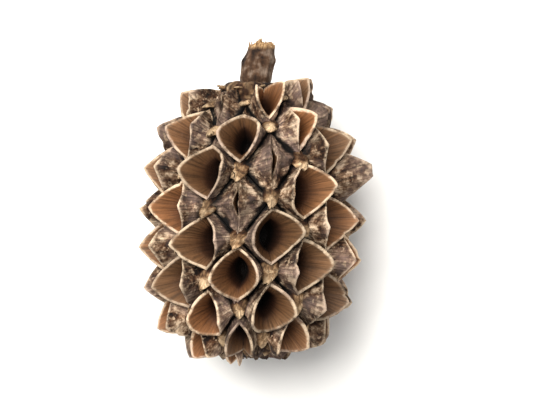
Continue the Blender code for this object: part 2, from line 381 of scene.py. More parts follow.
blank_points = mesh_points(blank.data)
ring_of = np.round(blank_points[:, 2]).astype(int)
turn_of = np.arctan2(blank_points[:, 1], blank_points[:, 0]) % math.tau
step_of = np.round(turn_of / (math.tau / ROUND)).astype(int) % ROUND
steps_round = np.arange(ROUND) * math.tau / ROUND

LUMP_HEIGHT = 0.13 * MM
LUMPS_PER_METRE = 1100.0
LUMP_FADE, LUMP_STEP, LUMP_LAYERS = 0.9, 2.0, 3  # each finer layer beside the last, and how many
LUMP_LEAST, LUMP_MORE = 0.25, 0.9  # share of their height inside and at the rim, and more half-way up
lump_share = LUMP_LEAST + LUMP_MORE * np.sin(math.pi * RING_LEVELS.clip(0.0, 1.0))


def lumpy(points):
    """Fine unevenness of dry wood at these places, about 1 high."""
    places = (Vector(point) * LUMPS_PER_METRE for point in points)
    return np.array([noise.fractal(place, LUMP_FADE, LUMP_STEP, LUMP_LAYERS) for place in places])


def outward_of(points):
    """The direction from the cone's axis to each point."""
    out = (points - CONE_MIDDLE) * np.array((1.0, 0.0, 1.0))
    return out / np.linalg.norm(out, axis=1)[:, None]


FIBRES_ROUND = 13.0  # radius in the pattern: some 80 fibres round a pair, 0.15 mm each
FIBRES_ALONG = 1.4
GRAIN_PLACES = (0.0, 90.0)  # where in the pattern of fibres a piece may start
INSIDE_LEVEL = 1.05
RIMLESS_LEVEL = 0.88  # the outer face of a pair that never opened ends below the pale rim


def grain_round(turn, fibres, along):
    """Places in a pattern of fibres that run along a piece and follow each other round it."""
    return np.stack((fibres * np.cos(turn), fibres * np.sin(turn), along), axis=-1)


def shaped_pair(pair):
    """A copy of the blank pair, shaped to its place on the cone."""
    angle, q, height = pair_rings(pair, steps_round)
    points = pair_points(pair, angle, q, height)[ring_of, step_of] + CONE_MIDDLE
    lump_height = LUMP_HEIGHT * pair["rough"]
    points += lump_height * lumpy(points)[:, None] * lump_share[ring_of, None] * outward_of(points)
    points[:, 2] = points[:, 2].clip(0.0)
    mesh = blank.data.copy()
    write_points(mesh, points)
    draw = np.random.default_rng(77 + 100 * pair["row"] + pair["place"])
    level = RING_LEVELS[ring_of]
    if pair["rough"] > 1.0:
        level = np.where(level < INSIDE_LEVEL, level.clip(max=RIMLESS_LEVEL), level)
    grain = grain_round(turn_of, FIBRES_ROUND, FIBRES_ALONG * level) + draw.uniform(*GRAIN_PLACES, 3)
    write_attribute(mesh, "grain", "FLOAT_VECTOR", grain)
    write_attribute(mesh, "level", "FLOAT", level)
    write_attribute(mesh, "tone", "FLOAT", np.full(len(level), draw.uniform(0.0, 1.0) / pair["rough"]))
    piece = bpy.data.objects.new("pair", mesh)
    bpy.context.scene.collection.objects.link(piece)
    return piece


def join(pieces, name):
    """Joins pieces into one object with one mesh of its own name."""
    bpy.ops.object.select_all(action="DESELECT")
    for piece in pieces:
        piece.select_set(True)
    bpy.context.view_layer.objects.active = pieces[0]
    if len(pieces) > 1:
        bpy.ops.object.join()
    pieces[0].name = pieces[0].data.name = name
    return pieces[0]


def linear(code):
    """An sRGB hex colour as linear red, green, blue and 1."""
    parts = (int(code[n : n + 2], 16) / 255.0 for n in (1, 3, 5))
    parts = (part / 12.92 if part <= 0.04045 else ((part + 0.055) / 1.055) ** 2.4 for part in parts)
    return (*parts, 1.0)


def add_node(tree, kind, inputs=(), stops=(), out=0, **settings):
    """Adds a node and gives its output. An input is a value, a colour code or another node's output."""
    node = tree.nodes.new(kind)
    for name, value in settings.items():
        setattr(node, name, value)
    for name, value in dict(inputs).items():
        if isinstance(value, bpy.types.NodeSocket):
            tree.links.new(value, node.inputs[name])
        else:
            node.inputs[name].default_value = linear(value) if isinstance(value, str) else value
    for n, (place, code) in enumerate(stops):
        steps = node.color_ramp.elements
        step = steps[0] if n == 0 else steps[-1] if n == len(stops) - 1 else steps.new(place)
        step.position, step.color = place, linear(code)
    return node.outputs[out]


def new_material(name):
    material = bpy.data.materials.new(name)
    material.use_nodes = True
    return material, material.node_tree, material.node_tree.nodes["Principled BSDF"]


# Weathered valve wood: dull grey-brown outside with fine fibres and pits, painted shade in the valleys
# and just below the rim, satin orange-brown inside with painted shade darkening it in its depth, a
# broken cream line on the rim
PITS_PER_METRE = 1100.0  # 0.9 mm apart
FLECKS_PER_METRE = 2600.0  # pale flecks, 0.4 mm apart
PATCHES_PER_METRE = 330.0  # greyer weathered patches, 3 mm apart
valve_wood, tree, shader = new_material("weathered_valve_wood")
level = add_node(tree, "ShaderNodeAttribute", attribute_name="level", out="Fac")
tone = add_node(tree, "ShaderNodeAttribute", attribute_name="tone", out="Fac")
grain = add_node(tree, "ShaderNodeAttribute", attribute_name="grain", out="Vector")
place = add_node(tree, "ShaderNodeTexCoord", out="Object")
fibres = add_node(
    tree, "ShaderNodeTexNoise", {"Vector": grain, "Scale": 1.0, "Detail": 3.0, "Roughness": 0.6}
)
mottle = add_node(
    tree, "ShaderNodeTexNoise",
    {"Vector": place, "Scale": PITS_PER_METRE, "Detail": 5.0, "Roughness": 0.66},
)
flecks = add_node(
    tree, "ShaderNodeTexNoise",
    {"Vector": place, "Scale": FLECKS_PER_METRE, "Detail": 3.0, "Roughness": 0.6},
)
outside = add_node(tree, "ShaderNodeValToRGB", {"Fac": mottle}, stops=(
    (0.37, "#130904"), (0.45, "#3f2717"), (0.54, "#765d47"), (0.62, "#c6ad91"),
))
weather = add_node(
    tree, "ShaderNodeTexNoise", {"Vector": place, "Scale": PATCHES_PER_METRE, "Detail": 2.0}
)
weather = add_node(
    tree, "ShaderNodeMapRange", {"Value": weather, "From Min": 0.46, "From Max": 0.64, "To Max": 0.55}
)
outside = add_node(
    tree, "ShaderNodeMix", {"Factor": weather, 6: outside, 7: "#8c766c"}, data_type="RGBA", out=2
)
fleck_share = add_node(
    tree, "ShaderNodeMapRange", {"Value": flecks, "From Min": 0.57, "From Max": 0.66, "To Max": 0.6}
)
outside = add_node(
    tree, "ShaderNodeMix", {"Factor": fleck_share, 6: outside, 7: "#bba184"}, data_type="RGBA", out=2
)
shade = add_node(
    tree, "ShaderNodeMapRange",
    {"Value": fibres, "From Min": 0.32, "From Max": 0.68, "To Min": 0.38, "To Max": 1.4},
)
# Painted shade: the outer face is darkened towards the valleys between pairs, and a little just below
# the rim, along a level made ragged by the mottle; the fibre streaks are multiplied in with it
mottled_level = add_node(tree, "ShaderNodeMath", {0: mottle, 1: 0.95, 2: -0.46}, operation="MULTIPLY_ADD")
mottled_level = add_node(tree, "ShaderNodeMath", {0: mottled_level, 1: level}, operation="ADD")
valley = add_node(
    tree, "ShaderNodeMapRange",
    {"Value": mottled_level, "From Min": 0.12, "From Max": 0.66, "To Min": 0.02, "To Max": 1.15},
    interpolation_type="SMOOTHSTEP",
)
painted_shade_below_rim = add_node(
    tree, "ShaderNodeMapRange",
    {"Value": mottled_level, "From Min": 0.6, "From Max": 0.9, "To Min": 1.0, "To Max": 0.75},
    interpolation_type="SMOOTHSTEP",
)
shade = add_node(tree, "ShaderNodeMath", {0: shade, 1: valley}, operation="MULTIPLY")
shade = add_node(tree, "ShaderNodeMath", {0: shade, 1: painted_shade_below_rim}, operation="MULTIPLY")
outside = add_node(
    tree, "ShaderNodeMix",
    {"Factor": 1.0, 6: outside, 7: shade},
    data_type="RGBA", blend_type="MULTIPLY", out=2,
)
inside_place = add_node(tree, "ShaderNodeMapRange", {"Value": level, "From Min": 1.0, "From Max": 2.0})
wander = add_node(tree, "ShaderNodeMath", {0: fibres, 1: 0.16, 2: -0.08}, operation="MULTIPLY_ADD")
inside_place = add_node(tree, "ShaderNodeMath", {0: inside_place, 1: wander}, operation="ADD")
# Painted shade: the satin orange-brown of the inner face darkens down the mouth to near black at the
# pocket's floor
inside = add_node(tree, "ShaderNodeValToRGB", {"Fac": inside_place}, stops=(
    (0.0, "#8d735a"), (0.12, "#73543a"), (0.3, "#64462d"),
    (0.5, "#4e331e"), (0.66, "#2c180d"), (0.85, "#0c0503"),
))
inside_shade = add_node(
    tree, "ShaderNodeMapRange",
    {"Value": fibres, "From Min": 0.34, "From Max": 0.66, "To Min": 0.55, "To Max": 1.4},
)
inside = add_node(
    tree, "ShaderNodeMix",
    {"Factor": 1.0, 6: inside, 7: inside_shade},
    data_type="RGBA", blend_type="MULTIPLY", out=2,
)
warm = add_node(
    tree, "ShaderNodeMapRange", {"Value": tone, "From Min": 0.35, "From Max": 1.0, "To Max": 0.8}
)
inside = add_node(
    tree, "ShaderNodeMix",
    {"Factor": warm, 6: inside, 7: "#ffdfc0"},
    data_type="RGBA", blend_type="MULTIPLY", out=2,
)
is_inside = add_node(tree, "ShaderNodeMapRange", {"Value": level, "From Min": 1.0, "From Max": 1.05})
colour = add_node(
    tree, "ShaderNodeMix", {"Factor": is_inside, 6: outside, 7: inside}, data_type="RGBA", out=2
)
ragged = add_node(tree, "ShaderNodeMath", {0: flecks, 1: 0.1, 2: -0.05}, operation="MULTIPLY_ADD")
rim_place = add_node(tree, "ShaderNodeMath", {0: level, 1: ragged}, operation="ADD")
rim_share = add_node(tree, "ShaderNodeMapRange", {"Value": rim_place, "From Min": 0.94, "From Max": 1.0})
rim_end = add_node(
    tree, "ShaderNodeMapRange",
    {"Value": rim_place, "From Min": 1.04, "From Max": 1.08, "To Min": 1.0, "To Max": 0.0},
)
rim_share = add_node(tree, "ShaderNodeMath", {0: rim_share, 1: rim_end}, operation="MULTIPLY")
rim_whole = add_node(
    tree, "ShaderNodeMapRange",
    {"Value": mottle, "From Min": 0.4, "From Max": 0.54, "To Min": 0.1, "To Max": 1.0},
)
rim_share = add_node(tree, "ShaderNodeMath", {0: rim_share, 1: rim_whole}, operation="MULTIPLY")
rim_colour = add_node(
    tree, "ShaderNodeMix", {"Factor": weather, 6: "#c8b195", 7: "#b2978a"}, data_type="RGBA", out=2
)
colour = add_node(
    tree, "ShaderNodeMix", {"Factor": rim_share, 6: colour, 7: rim_colour}, data_type="RGBA", out=2
)
bright = add_node(tree, "ShaderNodeMapRange", {"Value": tone, "To Min": 0.7, "To Max": 1.3})
colour = add_node(
    tree, "ShaderNodeMix",
    {"Factor": 1.0, 6: colour, 7: bright},
    data_type="RGBA", blend_type="MULTIPLY", out=2,
)
tree.links.new(colour, shader.inputs["Base Color"])
rough = add_node(tree, "ShaderNodeMapRange", {"Value": is_inside, "To Min": 0.85, "To Max": 0.58})
tree.links.new(rough, shader.inputs["Roughness"])
shader.inputs["Specular IOR Level"].default_value = 0.22
relief = add_node(tree, "ShaderNodeMath", {0: fibres, 1: mottle}, operation="ADD")
bump = add_node(tree, "ShaderNodeBump", {"Height": relief, "Strength": 0.9, "Distance": 0.09 * MM})
tree.links.new(bump, shader.inputs["Normal"])

for row in range(1, len(ROWS) - 1):
    whorl = join([shaped_pair(pair) for pair in PAIRS if pair["row"] == row], f"valves_whorl_{row}")
    whorl.data.materials.append(valve_wood)
    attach(whorl, "root")
    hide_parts("cone_head")
bpy.data.objects.remove(blank)

# The bracts
# Under every pair, on its stalk side, stands the dry pointed scale that sheltered the flower. It grew
# with the cone: a thin keeled point, grey-brown and brittle, with a pale edge, and painted shade
# darkening its base.

BRACT_ROUND = 12
BRACT_START = (0.62 * MM, -0.6 * MM)  # q and height of its base
BRACT_HALF_WIDTH = 0.78 * MM
BRACT_FLATNESS = 0.62
KEEL_HEIGHT = 0.22 * MM
BRACT_ROUGHNESS = 0.05 * MM
BRACT_TURN = 0.22  # either way, in radians
BRACT_WIDTHS = (0.85, 1.12)
BRACT_DEPTHS = (0.85, 1.1)
BRACT_SWAY = 0.16 * MM
BRACT_DROOPS = (-0.1 * MM, 0.22 * MM)
BRACT_HEIGHTS = (0.85, 1.12)
BRACTS_BY_TIP = 0.75  # their size beside the others'
BRACT_FIBRES = 4.0
# Each step up the bract: how far it moves along the cone and outwards, and its size beside the last
BRACT_STEPS = (
    (-0.10 * MM, 0.30 * MM, 1.04),
    (-0.12 * MM, 0.26 * MM, 0.98),
    (-0.18 * MM, 0.22 * MM, 0.90),
    (-0.22 * MM, 0.18 * MM, 0.80),
    (-0.22 * MM, 0.15 * MM, 0.66),
    (-0.18 * MM, 0.13 * MM, 0.50),
    (-0.10 * MM, 0.09 * MM, 0.30),
)

bpy.ops.object.select_all(action="DESELECT")
bpy.ops.mesh.primitive_circle_add(
    vertices=BRACT_ROUND, radius=BRACT_HALF_WIDTH, fill_type="NGON", location=(0.0, *BRACT_START)
)
blank = bpy.context.object
bpy.ops.object.transform_apply(location=True)
bpy.ops.object.mode_set(mode="EDIT")
middle = Vector((0.0, *BRACT_START))
bpy.ops.transform.resize(value=(1.0, BRACT_FLATNESS, 1.0), center_override=middle)
for along, out, scale in BRACT_STEPS:
    bpy.ops.mesh.extrude_region_move(TRANSFORM_OT_translate={"value": (0.0, along, out)})
    middle += Vector((0.0, along, out))
    bpy.ops.transform.resize(value=(scale, scale, 1.0), center_override=middle)
bpy.ops.mesh.select_all(action="SELECT")
bpy.ops.mesh.normals_make_consistent(inside=False)
bpy.ops.object.mode_set(mode="OBJECT")
bpy.ops.object.shade_smooth()

BRACT_TOP = BRACT_START[1] + sum(step[1] for step in BRACT_STEPS)


def shaped_bract(q, angle, scale, seed):
    """A copy of the bract at this place on the cone, a little turned, bent and stretched of its own."""
    draw = np.random.default_rng(500 + seed)
    local = mesh_points(blank.data)
    share = (local[:, 2] - BRACT_START[1]) / (BRACT_TOP - BRACT_START[1])
    turn = draw.uniform(-BRACT_TURN, BRACT_TURN)
    x = local[:, 0] * math.cos(turn) - local[:, 1] * math.sin(turn)
    y = local[:, 0] * math.sin(turn) + local[:, 1] * math.cos(turn)
    keel = KEEL_HEIGHT * (1.0 - (local[:, 0] / BRACT_HALF_WIDTH) ** 2) * share
    x = x * draw.uniform(*BRACT_WIDTHS) + draw.uniform(-BRACT_SWAY, BRACT_SWAY) * share
    y = y * draw.uniform(*BRACT_DEPTHS) - draw.uniform(*BRACT_DROOPS) * share**2
    z = (local[:, 2] + keel) * draw.uniform(*BRACT_HEIGHTS)
    rough = BRACT_ROUGHNESS * draw.normal(size=len(local)) * scale
    bract_angle = angle + (x * scale + rough) / body_radius(q)
    points = cone_points(q + y * scale + rough, bract_angle, z * scale) + CONE_MIDDLE
    points[:, 2] = points[:, 2].clip(0.0)
    mesh = blank.data.copy()
    write_points(mesh, points)
    round_angle = np.arctan2(local[:, 1] - BRACT_START[0] * (1.0 - share), local[:, 0])
    grain = grain_round(round_angle, BRACT_FIBRES, 1.2 * share)
    write_attribute(mesh, "grain", "FLOAT_VECTOR", grain + draw.uniform(*GRAIN_PLACES, 3))
    write_attribute(mesh, "level", "FLOAT", share)
    write_attribute(mesh, "tone", "FLOAT", np.full(len(share), draw.uniform(0.0, 1.0)))
    piece = bpy.data.objects.new("bract", mesh)
    bpy.context.scene.collection.objects.link(piece)
    return piece


# Dry bract: dull grey-brown with a pale brittle tip, and painted shade darkening it towards its base
BRACT_SPOTS_PER_METRE = 1500.0  # 0.7 mm apart
bract_scale, tree, shader = new_material("dry_bract_scale")
level = add_node(tree, "ShaderNodeAttribute", attribute_name="level", out="Fac")
tone = add_node(tree, "ShaderNodeAttribute", attribute_name="tone", out="Fac")
grain = add_node(tree, "ShaderNodeAttribute", attribute_name="grain", out="Vector")
place = add_node(tree, "ShaderNodeTexCoord", out="Object")
fibres = add_node(tree, "ShaderNodeTexNoise", {"Vector": grain, "Scale": 1.0, "Detail": 3.0})
mottle = add_node(
    tree, "ShaderNodeTexNoise", {"Vector": place, "Scale": BRACT_SPOTS_PER_METRE, "Detail": 4.0}
)
wander = add_node(tree, "ShaderNodeMath", {0: mottle, 1: 1.6, 2: -0.8}, operation="MULTIPLY_ADD")
step = add_node(tree, "ShaderNodeMath", {0: level, 1: wander}, operation="ADD")
# Painted shade: the colour runs from near black at the base, where the bract sinks between the valves,
# up to the pale tip
colour = add_node(tree, "ShaderNodeValToRGB", {"Fac": step}, stops=(
    (0.25, "#110702"), (0.5, "#3b2414"), (0.75, "#7c6145"), (1.0, "#b79c7b"),
))
shade = add_node(
    tree, "ShaderNodeMapRange",
    {"Value": fibres, "From Min": 0.34, "From Max": 0.66, "To Min": 0.4, "To Max": 1.4},
)
colour = add_node(
    tree, "ShaderNodeMix",
    {"Factor": 1.0, 6: colour, 7: shade},
    data_type="RGBA", blend_type="MULTIPLY", out=2,
)
bright = add_node(tree, "ShaderNodeMapRange", {"Value": tone, "To Min": 0.7, "To Max": 1.2})
colour = add_node(
    tree, "ShaderNodeMix",
    {"Factor": 1.0, 6: colour, 7: bright},
    data_type="RGBA", blend_type="MULTIPLY", out=2,
)
tree.links.new(colour, shader.inputs["Base Color"])
shader.inputs["Roughness"].default_value = 0.85
shader.inputs["Specular IOR Level"].default_value = 0.2
bump = add_node(tree, "ShaderNodeBump", {"Height": fibres, "Strength": 0.8, "Distance": 0.06 * MM})
tree.links.new(bump, shader.inputs["Normal"])

bracts = []
for pair in PAIRS:
    row = pair["row"] + 1
    aside = MOVED.get((row + 1, pair["place"]), 0.0)
    bracts.append(shaped_bract(ROWS[row] + aside, pair["angle"], size_at(ROWS[row]), len(bracts)))
for place_round in range(PAIRS_IN_WHORL):
    angle = math.tau * (2 * place_round + (-1 - WHORLS_TO_TIP) % 2) / (2 * PAIRS_IN_WHORL)
    bracts.append(shaped_bract(ROWS[1], angle, BRACTS_BY_TIP, len(bracts)))
bracts = join(bracts, "bracts")
bracts.data.materials.append(bract_scale)
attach(bracts, "root")
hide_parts("cone_head")

# The tip
# The last whorls never opened. They close the cone's end as a low bud of small hard scales, dark and
# rough, round a withered point.

TIP_LEVEL = -9.45 * MM
TIP_RADIUS = 1.35 * MM
TIP_RISE = 0.75 * MM
TIP_STEPS = 6
TIP_FLUTES = 0.09 * MM
TIP_ROUGHNESS = 0.03 * MM
TIP_FIBRES_PER_METRE = 3000.0
# Each ring of scales round it: place along the outline, size and count
TIP_SCALES = ((-12.35 * MM, 0.72, 8), (-12.75 * MM, 0.5, 5))
TIP_SCALE_TURN = 0.12  # either way, of the room for one
TIP_SCALE_SIZES = (0.9, 1.1)

bpy.ops.object.select_all(action="DESELECT")
bpy.ops.mesh.primitive_circle_add(vertices=32, radius=TIP_RADIUS, fill_type="NGON")
dome = bpy.context.object
bpy.ops.object.mode_set(mode="EDIT")
last_wide, last_high = 1.0, 0.0
for n in range(1, TIP_STEPS + 1):
    bend = math.pi / 2.0 * n / (TIP_STEPS + 0.6)
    wide, high = math.cos(bend), math.sin(bend)
    step = (0.0, 0.0, (high - last_high) * TIP_RISE)
    bpy.ops.mesh.extrude_region_move(TRANSFORM_OT_translate={"value": step})
    narrower = (wide / last_wide, wide / last_wide, 1.0)
    bpy.ops.transform.resize(value=narrower, center_override=(0.0, 0.0, high * TIP_RISE))
    last_wide, last_high = wide, high
bpy.ops.mesh.select_all(action="SELECT")
bpy.ops.mesh.normals_make_consistent(inside=False)
bpy.ops.transform.rotate(value=-math.pi / 2.0, orient_axis="X", center_override=(0.0, 0.0, 0.0))
bpy.ops.object.mode_set(mode="OBJECT")
bpy.ops.object.shade_smooth()
points = mesh_points(dome.data)
draw = np.random.default_rng(9)
turn = np.arctan2(points[:, 0], points[:, 2])
reach = np.hypot(points[:, 0], points[:, 2])
points[:, 1] += TIP_FLUTES * np.cos(PAIRS_IN_WHORL * turn) * reach / TIP_RADIUS
points[:, 1] += TIP_ROUGHNESS * draw.normal(size=len(points))
write_points(dome.data, points + CONE_MIDDLE + np.array((0.0, TIP_LEVEL, 0.0)))
write_attribute(dome.data, "grain", "FLOAT_VECTOR", points * TIP_FIBRES_PER_METRE)
write_attribute(dome.data, "level", "FLOAT", 0.35 + 0.3 * (1.0 - reach / TIP_RADIUS))
write_attribute(dome.data, "tone", "FLOAT", np.full(len(points), 0.3))

COVER_ROUND = 96
COVER_SHARES = (0.0, 0.08, 0.18, 0.3, 0.42, 0.54, 0.66, 0.76, 0.85, 0.93, 1.0)
COVER_UNDERSIDE = ((1.0, -1.1 * MM), (0.5, -1.5 * MM))  # share of the way out, height above the body
COVER_HEIGHT = -0.18 * MM
COVER_LUMPS = 0.16 * MM
COVER_FIBRES = 9.0
COVER_START = 0.1 * MM  # from the outline's end to the cover's first ring, under the bud


def end_cover(last, inner, start, seed):
    """Wood that closes an end of the cone, and runs out between the cells of the whorl next to it."""
    bpy.ops.object.select_all(action="DESELECT")
    bpy.ops.mesh.primitive_circle_add(vertices=COVER_ROUND, radius=1.0, fill_type="NGON")
    cover = bpy.context.object
    rings = [(share, None) for share in COVER_SHARES] + list(COVER_UNDERSIDE)
    bpy.ops.object.mode_set(mode="EDIT")
    for _ in rings[1:]:
        bpy.ops.mesh.extrude_region_move(TRANSFORM_OT_translate={"value": (0.0, 0.0, 1.0)})
    bpy.ops.object.mode_set(mode="OBJECT")
    local = mesh_points(cover.data)
    ring = np.round(local[:, 2]).astype(int)
    turn = np.arctan2(local[:, 1], local[:, 0]) % math.tau
    phase = (PAIRS_IN_WHORL * turn - math.pi * ((inner - 1 - WHORLS_TO_TIP) % 2)) % math.tau
    notch = 1.0 - np.abs(phase / math.pi - 1.0)
    edge = ROWS[last] + (ROWS[inner] - ROWS[last]) * notch
    share = np.array([ring_share for ring_share, _ in rings])[ring]
    height = np.array([COVER_HEIGHT if level is None else level for _, level in rings])[ring]
    q = start + (edge - start) * share
    points = cone_points(q, turn, height * size_at(q)) + CONE_MIDDLE
    points += COVER_LUMPS * lumpy(points)[:, None] * outward_of(points)
    write_points(cover.data, points)
    draw = np.random.default_rng(seed)
    grain = grain_round(turn, COVER_FIBRES, 2.0 * share) + draw.uniform(*GRAIN_PLACES, 3)
    write_attribute(cover.data, "grain", "FLOAT_VECTOR", grain)
    write_attribute(cover.data, "level", "FLOAT", np.full(len(share), 0.5))
    write_attribute(cover.data, "tone", "FLOAT", np.full(len(share), 0.2))
    bpy.ops.object.mode_set(mode="EDIT")
    bpy.ops.mesh.select_all(action="SELECT")
    bpy.ops.mesh.normals_make_consistent(inside=False)
    bpy.ops.object.mode_set(mode="OBJECT")
    bpy.ops.object.shade_smooth()
    return cover


scales = [dome, end_cover(0, 1, float(OUTLINE[0][0]) + COVER_START, 21)]
for ring, (q, scale, count) in enumerate(TIP_SCALES):
    for n in range(count):
        angle = math.tau * (n + 0.5 * ring + draw.uniform(-TIP_SCALE_TURN, TIP_SCALE_TURN)) / count
        size = scale * draw.uniform(*TIP_SCALE_SIZES)
        scales.append(shaped_bract(q, angle, size, 200 + 10 * ring + n))
tip = join(scales, "tip_bud")
tip.data.materials.clear()
tip.data.materials.append(bract_scale)
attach(tip, "root")
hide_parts("cone_head")
bpy.data.objects.remove(blank)

# The collar
# Where the stalk enters, the cone's wood ends in a rough ring round it, cracked and dark, the scar of
# the last small bracts.

COLLAR_RADIUS = 1.75 * MM
COLLAR_THICKNESS = 0.62 * MM
COLLAR_LUMPS = 0.16  # of its thickness
COLLAR_CREASES = 0.06 * MM
COLLAR_SUNK = 0.25 * MM  # below the seat
SEAT_EDGE_HEIGHT = 0.4 * MM
seat_turns = math.tau * (2 * np.arange(PAIRS_IN_WHORL) + 1) / (2 * PAIRS_IN_WHORL)
SEAT_LEVEL = cone_points(ROWS[-1], seat_turns, SEAT_EDGE_HEIGHT * size_at(ROWS[-1]))[:, 1].mean()
bpy.ops.object.select_all(action="DESELECT")
bpy.ops.mesh.primitive_torus_add(
    major_radius=COLLAR_RADIUS, minor_radius=COLLAR_THICKNESS, major_segments=72, minor_segments=20
)
collar = bpy.context.object
bpy.ops.object.mode_set(mode="EDIT")
bpy.ops.transform.rotate(value=math.pi / 2.0, orient_axis="X", center_override=(0.0, 0.0, 0.0))
bpy.ops.object.mode_set(mode="OBJECT")
bpy.ops.object.shade_smooth()
points = mesh_points(collar.data)
turn = np.arctan2(points[:, 0], points[:, 2])
reach = np.hypot(points[:, 0], points[:, 2])
draw = np.random.default_rng(12)
lumps = waves(draw, turn, 14)
grow = 1.0 + COLLAR_LUMPS * lumps
points[:, 1] *= grow
reach = COLLAR_RADIUS + (reach - COLLAR_RADIUS) * grow
points[:, 0], points[:, 2] = reach * np.sin(turn), reach * np.cos(turn)
points[:, 1] += COLLAR_CREASES * waves(draw, turn, 20)
write_points(collar.data, points + CONE_MIDDLE + np.array((0.0, SEAT_LEVEL - COLLAR_SUNK, 0.0)))
write_attribute(collar.data, "grain", "FLOAT_VECTOR", grain_round(turn, 8.0, points[:, 1] * 900.0))
write_attribute(collar.data, "level", "FLOAT", 0.55 + 0.25 * lumps)
write_attribute(collar.data, "tone", "FLOAT", np.full(len(points), 0.3))
stalk_half = slice(OUTLINE_STEPS // 2, None)
inside_collar = float(np.interp(-COLLAR_RADIUS, -OUTLINE[2][stalk_half], OUTLINE[0][stalk_half]))
collar = join([collar, end_cover(len(ROWS) - 1, len(ROWS) - 2, inside_collar, 22)], "stalk_collar")
collar.data.materials.append(bract_scale)
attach(collar, "root")
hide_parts("cone_head")

# The stalk
# A short woody stem that the cone hung by, grown into its axis: dark bark with low ribs and ringed
# nodes, bent a little, and torn off at its end, where the tan wood stands in splinters.

STALK_RADIUS = 1.05 * MM
STALK_LENGTH = 3.2 * MM
STALK_SUNK = 1.2 * MM
STALK_BEND = 0.45 * MM
STALK_SWELLING = 0.16  # of its radius, halfway along
STALK_TAPER = 0.12  # of its radius, at the broken end
STALK_KNOTS = ((0.2, 0.07), (0.62, 0.09))  # share of the length outside, and height beside the radius
KNOT_SPREAD = 0.09
KNOT_SLANT = 0.03
BARK_RIDGES = 0.05  # their height beside the radius
BARK_RIBS = 9
RIB_HEIGHT = 0.035
STALK_FOOT = SEAT_LEVEL - STALK_SUNK
STALK_ROUND = 56
STALK_RINGS = 40
TORN_LAST = 0.14  # share of the length over which the end is torn
TORN_SIDE = 2.2  # the side, in radians, where the torn end stands up highest
TORN_HEIGHT = 0.05  # of the length
TORN_CHAMFER = 0.35  # of its radius
SPLINTERS = 26
SPLINTER_RINGS = 5
SPLINTER_FOOT = 0.9  # share of the length
SPLINTER_REACH = 0.1
SPLINTER_SIDE_REACH = 0.035
SPLINTER_WIDTHS = (0.08 * MM, 0.17 * MM)
SPLINTER_TAPER = 0.85
SPLINTER_FLATNESS = 0.7

bpy.ops.object.select_all(action="DESELECT")
bpy.ops.mesh.primitive_circle_add(vertices=STALK_ROUND, radius=1.0, fill_type="NGON")
stem = bpy.context.object
bpy.ops.object.mode_set(mode="EDIT")
for _ in range(STALK_RINGS - 1):
    bpy.ops.mesh.extrude_region_move(TRANSFORM_OT_translate={"value": (0.0, 0.0, 1.0)})
bpy.ops.mesh.select_all(action="SELECT")
bpy.ops.mesh.normals_make_consistent(inside=False)
bpy.ops.object.mode_set(mode="OBJECT")
bpy.ops.object.shade_smooth()


def stalk_points(share, turn, radius):
    """Points round the stalk's bent middle line, at a share of its length from its foot."""
    along = STALK_FOOT + (SEAT_LEVEL + STALK_LENGTH - STALK_FOOT) * share
    outside = np.maximum(0.0, along - SEAT_LEVEL) / STALK_LENGTH
    bend = STALK_BEND * outside**2
    return np.stack((bend + radius * np.cos(turn), along, -bend - radius * np.sin(turn)), axis=-1)


points = mesh_points(stem.data)
turn = np.arctan2(points[:, 1], points[:, 0]) % math.tau
step = np.round(turn / (math.tau / STALK_ROUND)).astype(int) % STALK_ROUND
ring = np.round(points[:, 2]).astype(int)
draw = np.random.default_rng(4)
round_turn = np.arange(STALK_ROUND) * math.tau / STALK_ROUND
ribs = BARK_RIDGES * waves(draw, round_turn, 16) + RIB_HEIGHT * np.cos(BARK_RIBS * round_turn)
torn = TORN_HEIGHT * (waves(draw, round_turn, 12) + np.cos(round_turn - TORN_SIDE))
share = ring / (STALK_RINGS - 1)
outside = np.clip((share * (STALK_LENGTH + STALK_SUNK) - STALK_SUNK) / STALK_LENGTH, 0.0, 1.0)
width = 1.0 + STALK_SWELLING * np.sin(math.pi * outside) ** 2 - STALK_TAPER * outside
for knot, high in STALK_KNOTS:
    width += high * np.exp(-(((outside - knot + KNOT_SLANT * np.sin(2.0 * turn)) / KNOT_SPREAD) ** 2))
width += ribs[step] * (0.6 + 0.6 * np.sin(2.0 + 9.0 * share))
share = share + torn[step] * np.clip((share - 1.0 + TORN_LAST) / TORN_LAST, 0.0, 1.0)
width *= 1.0 - TORN_CHAMFER * np.clip((ring - STALK_RINGS + 3) / 2.0, 0.0, 1.0)
write_points(stem.data, stalk_points(share, turn, STALK_RADIUS * width) + CONE_MIDDLE)
write_attribute(stem.data, "grain", "FLOAT_VECTOR", grain_round(turn, 6.0, 3.0 * share))
write_attribute(stem.data, "level", "FLOAT", np.clip((share - 0.9) / 0.08, 0.0, 1.0))

